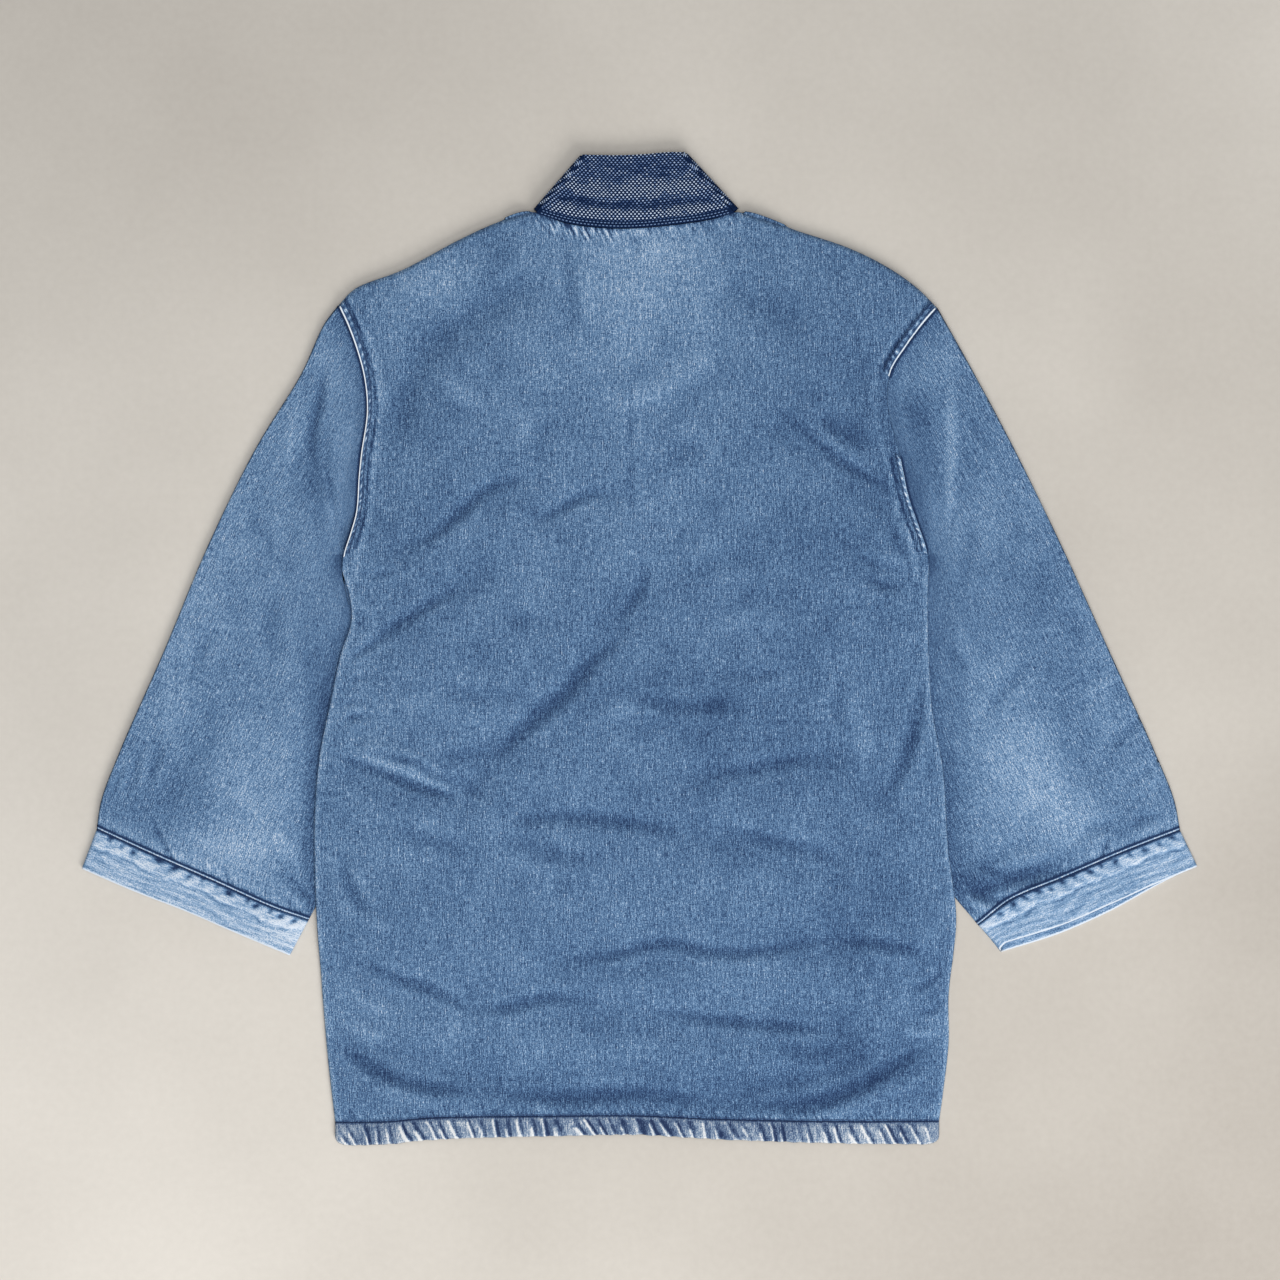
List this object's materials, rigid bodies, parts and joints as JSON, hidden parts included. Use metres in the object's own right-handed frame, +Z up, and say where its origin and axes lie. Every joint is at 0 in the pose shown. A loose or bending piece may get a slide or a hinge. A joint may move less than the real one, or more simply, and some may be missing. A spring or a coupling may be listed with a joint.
{
  "type": "kimono jacket",
  "caption": "Washed denim kimono jacket with wide sleeves and an indigo woven band collar, laid flat and face down.",
  "frame": {"origin": "middle of the underside of the laid jacket, on the surface it lies on", "axes": "+X across the back towards the right sleeve, +Y from the hem to the collar, +Z up out of the back"},
  "size_m": [0.938, 0.8342, 0.0117],
  "materials": {
    "denim_body": "matt, vertical slubs, washed",
    "denim_sleeve": "matt, slubs along the sleeve, washed",
    "denim_cuff": "matt, puckered and worn pale",
    "denim_hem": "matt, roped and worn pale on the ridges",
    "collar_weave": "matt indigo with small pale dashes",
    "seam_denim": "matt, felled, puckered and worn pale"
  },
  "bodies": {
    "root": {"back": "denim_body", "front_left": "denim_body", "front_right": "denim_body", "hem_back": "denim_hem", "hem_front_left": "denim_hem", "hem_front_right": "denim_hem", "collar": "collar_weave", "armhole_seam_left": "seam_denim", "armhole_seam_right_upper": "seam_denim", "armhole_seam_right_lower": "seam_denim", "sleeve_left": "denim_sleeve", "sleeve_right": "denim_sleeve", "cuff_left": "denim_cuff", "cuff_right": "denim_cuff"}
  },
  "joints": []
}
